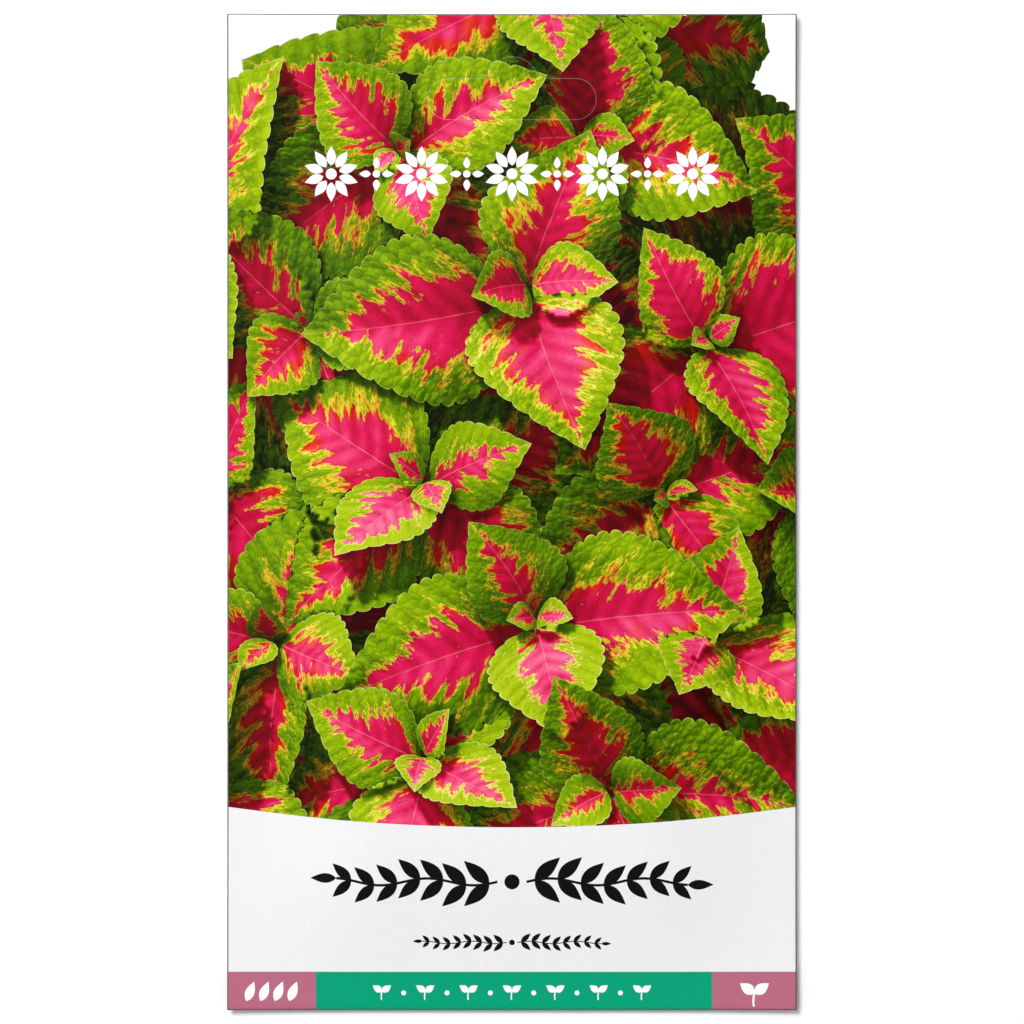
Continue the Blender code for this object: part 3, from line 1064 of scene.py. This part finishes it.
def leaf_colour(painter):
    """A green leaf with a pink heart that runs out in spikes over a yellow and orange fringe."""
    cells = painter.attribute("leaf_cells")
    _, _, coarse = painter.split(painter.attribute("leaf_shift"))
    heart, rim, rib = painter.split(painter.attribute("leaf_zones"))
    warm, u, light = painter.split(painter.attribute("leaf_nature"))
    times, plus, scaled, swing = painter.times, painter.plus, painter.scaled, painter.swing

    rough = times(painter.band(heart, 0.05, -0.2), coarse)
    ground, relief = leaf_tone(painter, cells, rough, coarse)
    tone = plus(light, relief)

    def streaks(across, scale, detail, roughness):
        place = painter.stretch(cells, (1.0, across, 1.0))
        return painter.flat_noise(place, scale, detail, roughness)

    spikes = swing(streaks(0.26, 1.5, 2.0, 0.5), 1.0)
    lobes = swing(painter.flat_noise(ground, 1.3), 0.7)
    fringe = swing(streaks(1.1, 6.0, 4.0, 0.7), 0.44)
    edge = plus(spikes, lobes, fringe, heart)
    thin = scaled(streaks(1.1, 7.5, 4.0, 0.75), 1.1, -0.57)
    yellow_edge = plus(edge, scaled(warm, 0.16, 0.11), thin)
    yellow_share = times(painter.band(yellow_edge, 0.0, 0.09), 0.92)
    orange_share = times(painter.band(edge, -0.08, 0.0), warm)
    shown = painter.ramp(tone, GREEN)
    shown = painter.mix(yellow_share, shown, painter.ramp(tone, YELLOW))
    shown = painter.mix(orange_share, shown, painter.ramp(tone, ORANGE))

    # The heart is redder in warm leaves and towards its edge, where it has dark stains too.
    red = scaled(warm, 0.42, painter.minus(painter.flat_noise(ground, 0.7), heart))
    red = painter.band(red, 0.6, 0.95)
    pink = painter.mix(red, painter.ramp(tone, PINK), painter.ramp(tone, RED))
    stain = painter.band(streaks(0.5, 4.0, 3.0, 0.6), 0.54, 0.64)
    stain = times(times(stain, painter.band(edge, 0.2, 0.0)), 0.7)
    pink = painter.mix(stain, pink, colour(STAIN))
    shown = painter.mix(painter.band(edge, -0.012, 0.02), shown, pink)

    # The midrib, the side veins and the pale rim.
    rib_edge = plus(scaled(u, -0.12, 0.02), painter.flat_noise(cells, 2.5, 2.0, 0.6))
    rib_line = times(painter.band(rib, times(rib_edge, 0.34), 0.0), painter.band(tone, 0.2, 0.8))
    shown = painter.mix(times(rib_line, scaled(u, -0.22, 0.34)), shown, colour(MIDRIB))
    cell_x, _, _ = painter.split(cells)
    vein = painter.band(painter.maths("PINGPONG", cell_x, 0.5), 0.06, 0.0)
    shown = painter.mix(times(vein, 0.15), shown, colour(SIDE_VEIN))
    rim_line = times(painter.band(rim, 0.32, 0.1), 0.5)
    return painter.mix(rim_line, shown, painter.ramp(tone, RIM))


def hollow_colour(painter):
    patches = painter.flat_noise(painter.place(), 0.16, 3.0, 0.6)
    stops = [(0.3, "#0A1404"), (0.5, "#1A2A08"), (0.62, "#2A0A08"), (0.8, "#3A0610")]
    return painter.ramp(patches, stops)


PLAIN_COLOURS = {
    "backdrop": "#FCFCFC",
    "panel": "#EEEEEE",
    "strip_middle": STRIP_MIDDLE,
    "strip_blocks": STRIP_BLOCKS,
    "ornament_dark": "#101010",
    "ornament_white": "#FCFCFC",
    # Dark grey painted shade along the packet's outline, where the folds turn under.
    "painted_edge_shade": "#606060",
}
LAYERS = ["leaves", "hollow", *PLAIN_COLOURS]


def make_print_materials():
    makers = [over_slot(leaf_colour), over_slot(hollow_colour)]
    makers += [lambda painter, code=code: colour(code) for code in PLAIN_COLOURS.values()]
    return {name: coated("print_" + name, maker) for name, maker in zip(LAYERS, makers)}


# The folded sheet


def evenly(start, end, cells):
    return list(np.linspace(start, end, cells + 1))


def fold_arc(start, radius, side, steps=6):
    """Round a fold: places, rises from its middle, and 1 on its upper half."""
    turns = [math.pi * k / steps for k in range(1, steps)]
    found = [(start + side * radius * math.sin(turn), side * math.cos(turn)) for turn in turns]
    return [(place, radius * rise, int(rise > -0.01)) for place, rise in found]


def sheet_columns():
    """Columns round the packet from the side flap to the back: x, level, and where they lie.

    The last value is 2 on the front, 1 on the outer half of a fold beside it and 0 elsewhere.
    """
    left_middle = (LEVELS["front"] + LEVELS["side"]) / 2
    right_middle = (LEVELS["front"] + LEVELS["back"]) / 2
    columns = [(x, LEVELS["side"], 0) for x in evenly(LEFT_FOLD + SIDE_FLAP, LEFT_FOLD, 4)]
    for x, rise, upper in fold_arc(LEFT_FOLD, LEFT_RADIUS, -1):
        columns.append((x, left_middle + rise, upper))
    columns.append((LEFT_FOLD, LEVELS["front"], 1))
    columns += [(x, LEVELS["front"], 2) for x in evenly(-FLAP_EDGE, FLAP_EDGE, 60)]
    columns.append((RIGHT_FOLD, LEVELS["front"], 1))
    for x, rise, upper in fold_arc(RIGHT_FOLD, RIGHT_RADIUS, 1):
        columns.append((x, right_middle + rise, upper))
    back_end = -MIDLINE_WIDTH / 2 + 2 * LAYER_PITCH
    columns += [(x, LEVELS["back"], 0) for x in evenly(RIGHT_FOLD, back_end, 24)]
    return columns


def sheet_rows():
    """Rows from the bottom flap to the top one: y, drop below the front, flap share, and where.

    The last value is 2 on the body, 1 on the outer half of an end fold and 0 on the rest.
    """
    depth = 2 * END_RADIUS
    rows = []
    for y in evenly(-END_FOLD + BOTTOM_FLAP, -END_FOLD, 5):
        rows.append((y, depth, (y + END_FOLD) / BOTTOM_FLAP, 0))
    for y, rise, upper in fold_arc(-END_FOLD, END_RADIUS, -1):
        rows.append((y, END_RADIUS - rise, 0.0, upper))
    rows += [(y, 0.0, 0.0, 2) for y in evenly(-END_FOLD, END_FOLD, 106)]
    for y, rise, upper in fold_arc(END_FOLD, END_RADIUS, 1):
        rows.append((y, END_RADIUS - rise, 0.0, upper))
    for y in evenly(END_FOLD, END_FOLD - TOP_FLAP, 8):
        rows.append((y, depth, (END_FOLD - y) / TOP_FLAP, 0))
    return rows


def make_slot_cutter():
    """Thin upright prisms along the hang slot's line, one between each two nicks."""
    bm = bmesh.new()
    for band in slot_bands():
        low = [bm.verts.new(Vector((x, y, -1.0)) * MM) for x, y in band]
        face = bm.faces.new(low)
        grown = bmesh.ops.extrude_face_region(bm, geom=[face])["geom"]
        top = [item for item in grown if isinstance(item, bmesh.types.BMVert)]
        bmesh.ops.translate(bm, verts=top, vec=(0.0, 0.0, 4.0 * MM))
    bmesh.ops.recalc_face_normals(bm, faces=bm.faces)
    mesh = bpy.data.meshes.new("slot_cutter")
    bm.to_mesh(mesh)
    bm.free()
    return make_object("slot_cutter", mesh)


def make_envelope(material):
    columns, rows = sheet_columns(), sheet_rows()
    bm = bmesh.new()
    bmesh.ops.create_grid(bm, x_segments=len(columns) - 1, y_segments=len(rows) - 1, size=1.0)
    place = {}
    for vertex in bm.verts:
        column = round((vertex.co.x + 1.0) / 2.0 * (len(columns) - 1))
        row = round((vertex.co.y + 1.0) / 2.0 * (len(rows) - 1))
        place[vertex] = (column, row)

    # The sheet has a body, end flaps as wide as the front, and pressed corners between them.
    def beyond_sheet(face):
        across = min(columns[place[v][0]][2] for v in face.verts)
        along = min(rows[place[v][1]][3] for v in face.verts)
        return not (along == 2 or across == 2 or (along == 1 and across == 1))

    outside = [face for face in bm.faces if beyond_sheet(face)]
    bmesh.ops.delete(bm, geom=outside, context="FACES")
    for vertex in bm.verts:
        column, row = place[vertex]
        x, level, _ = columns[column]
        y, drop, share, part = rows[row]
        x *= 1.0 - FLAP_TAPER * share
        z = level - drop + corner_lift(x, y)
        if part == 2 and level == LEVELS["front"]:
            z += front_rise(x, y)
        vertex.co = Vector((x, y, z)) * MM
    bmesh.ops.recalc_face_normals(bm, faces=bm.faces)
    mesh = bpy.data.meshes.new("folded_sheet")
    bm.to_mesh(mesh)
    bm.free()
    sheet = make_object("paper_envelope", mesh)
    thicken = sheet.modifiers.new("paper", "SOLIDIFY")
    thicken.thickness = PAPER * MM
    thicken.offset = 0.0
    thicken.use_even_offset = True
    cutter = make_slot_cutter()
    cut = sheet.modifiers.new("slot", "BOOLEAN")
    cut.operation = "DIFFERENCE"
    cut.object = cutter
    bpy.context.view_layer.update()
    graph = bpy.context.evaluated_depsgraph_get()
    sheet.data = bpy.data.meshes.new_from_object(sheet.evaluated_get(graph))
    sheet.modifiers.clear()
    bpy.data.objects.remove(cutter)
    sheet.data.materials.clear()
    sheet.data.materials.append(material)
    sheet.data.shade_smooth()
    sheet.data.set_sharp_from_angle(angle=math.radians(60.0))
    return sheet


def paper_colour(painter):
    """White paper. The bottom strip's three blocks run on round the folds to the back."""
    place = painter.place()
    specks = painter.noise(place, 1.4, 4.0, 0.7)
    paper = painter.ramp(specks, [(0.35, "#F1F0EC"), (0.65, "#FAFAF8")])
    x, y, _ = painter.split(place)
    left = painter.maths("LESS_THAN", x, LEFT_BLOCK_END)
    right = painter.maths("GREATER_THAN", x, RIGHT_BLOCK_START)
    blocks = painter.plus(left, right)
    strip = painter.mix(blocks, colour(STRIP_MIDDLE), colour(STRIP_BLOCKS))
    return painter.mix(painter.maths("LESS_THAN", y, STRIP_TOP), paper, strip)


def mottled(name, roughness, noise, dark, pale, relief):
    """Two tones in a pattern of noise, with a slight relief that follows it."""
    painter = Painter(name, roughness, 0.4)
    pattern = painter.noise(painter.place(), *noise)
    painter.paint(painter.ramp(pattern, [(0.3, dark), (0.7, pale)]))
    painter.bump(pattern, relief, 0.0001)
    return painter.material


def dress_hidden_nodes(frame):
    """The glassine bag and the seeds keep their CAD shapes and get their finishes."""
    glassine = mottled("glassine", 0.38, (0.35, 5.0, 0.65), "#E4DFD0", "#F2EEE2", relief=0.2)
    coat = mottled("seed_coat", 0.5, (4.0, 3.0, 0.6), "#1C0E08", "#4A2A18", relief=0.5)
    for name, node in frame["nodes"].items():
        if name == "envelope":
            continue
        finish = glassine if name == "inner_bag" else coat
        for slot in node.material_slots:
            slot.material = finish


# The stage


def make_floor():
    mesh = bpy.data.meshes.new("floor")
    bm = bmesh.new()
    bmesh.ops.create_grid(bm, x_segments=2, y_segments=2, size=1.5)
    bm.to_mesh(mesh)
    bm.free()
    painter = Painter("floor", 0.8, 0.1)
    clouds = painter.noise(painter.place(), 0.02, 2.0)
    painter.paint(painter.ramp(clouds, [(0.3, "#FCFCFC"), (0.7, "#FFFFFF")]))
    mesh.materials.append(painter.material)
    floor = make_object("floor", mesh)


def area_light(name, location, size, power):
    lamp = bpy.data.lights.new(name, "AREA")
    lamp.shape = "DISK"
    lamp.size = size
    lamp.energy = power
    light = make_object(name, lamp)
    light.location = location
    light.rotation_euler = (-Vector(location)).to_track_quat("-Z", "Y").to_euler()


def make_world():
    """White walls low all round and a dim ceiling, so that the key light still throws a shadow."""
    world = bpy.data.worlds.new("studio")
    world.use_nodes = True
    nodes, links = world.node_tree.nodes, world.node_tree.links
    direction = nodes.new("ShaderNodeTexCoord")
    parts = nodes.new("ShaderNodeSeparateXYZ")
    links.new(direction.outputs["Generated"], parts.inputs[0])
    fade = nodes.new("ShaderNodeMapRange")
    fade.interpolation_type = "SMOOTHSTEP"
    for name, value in (("From Min", 0.12), ("From Max", 0.36), ("To Min", 1.0), ("To Max", 0.12)):
        fade.inputs[name].default_value = value
    links.new(parts.outputs[2], fade.inputs["Value"])
    background = nodes["Background"]
    background.inputs["Color"].default_value = (1.0, 1.0, 1.0, 1.0)
    links.new(fade.outputs[0], background.inputs["Strength"])
    bpy.context.scene.world = world


def make_lights():
    area_light("key", (-1.42, 1.8, 2.35), size=1.5, power=107.0)
    area_light("fill_left", (-0.75, -0.35, 0.6), size=0.7, power=1.9)
    area_light("fill_right", (0.75, 0.4, 0.65), size=0.7, power=1.3)
    area_light("fill_front", (0.35, -0.8, 0.65), size=0.7, power=1.3)
    make_world()


def make_camera():
    """Straight above the packet, with the photograph's frame of 1024 pixels over 165.4 mm."""
    lens, sensor, frame_width = 100.0, 36.0, 165.4
    camera = bpy.data.cameras.new("camera")
    camera.lens = lens
    camera.sensor_width = sensor
    camera.clip_start = 0.01
    camera.clip_end = 10.0
    holder = make_object("camera", camera)
    edge_level = LEVELS["front"] + PAPER / 2
    holder.location = (0.0, 0.0, (frame_width * lens / sensor + edge_level) * MM)
    bpy.context.scene.camera = holder


make_camera()
make_lights()
make_floor()
bpy.context.scene.view_settings.view_transform = "Standard"

envelope = make_envelope(coated("coated_paper", paper_colour))
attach(envelope, "root")
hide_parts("envelope")

front_print = make_print(make_print_materials())
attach(front_print, "root")

dress_hidden_nodes(frame)
